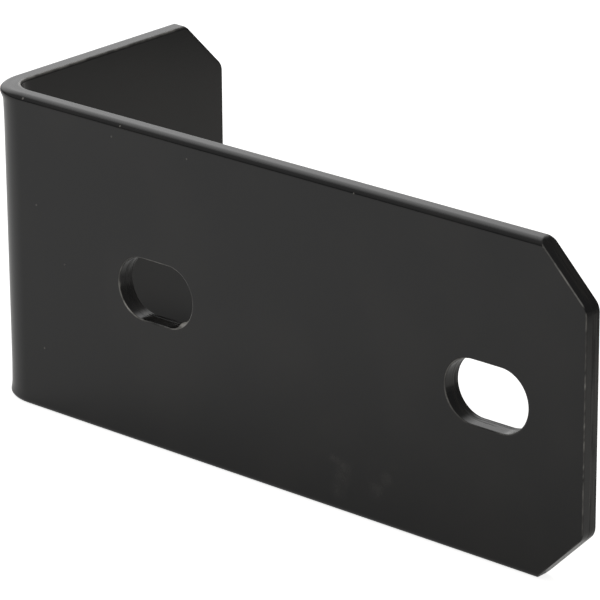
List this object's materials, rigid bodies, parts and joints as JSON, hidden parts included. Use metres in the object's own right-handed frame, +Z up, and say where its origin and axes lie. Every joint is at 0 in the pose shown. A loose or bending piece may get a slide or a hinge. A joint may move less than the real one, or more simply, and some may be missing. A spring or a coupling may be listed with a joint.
{
  "type": "corner brace",
  "caption": "Folded steel corner brace: an L of flat bar with rolled edges, clipped free corners and bolt slots along the long leg, coated satin black.",
  "frame": {"origin": "middle of the footprint's bounding rectangle, on the surface that the brace stands on", "axes": "+Z up along the fold, +X along the long leg from the fold to its free end, +Y along the short leg, so the long leg's outer face looks towards -Y"},
  "size_m": [0.1746, 0.0762, 0.0762],
  "materials": {
    "black_coat": "satin black coat on steel"
  },
  "bodies": {
    "root": {"brace": "black_coat"}
  },
  "joints": []
}
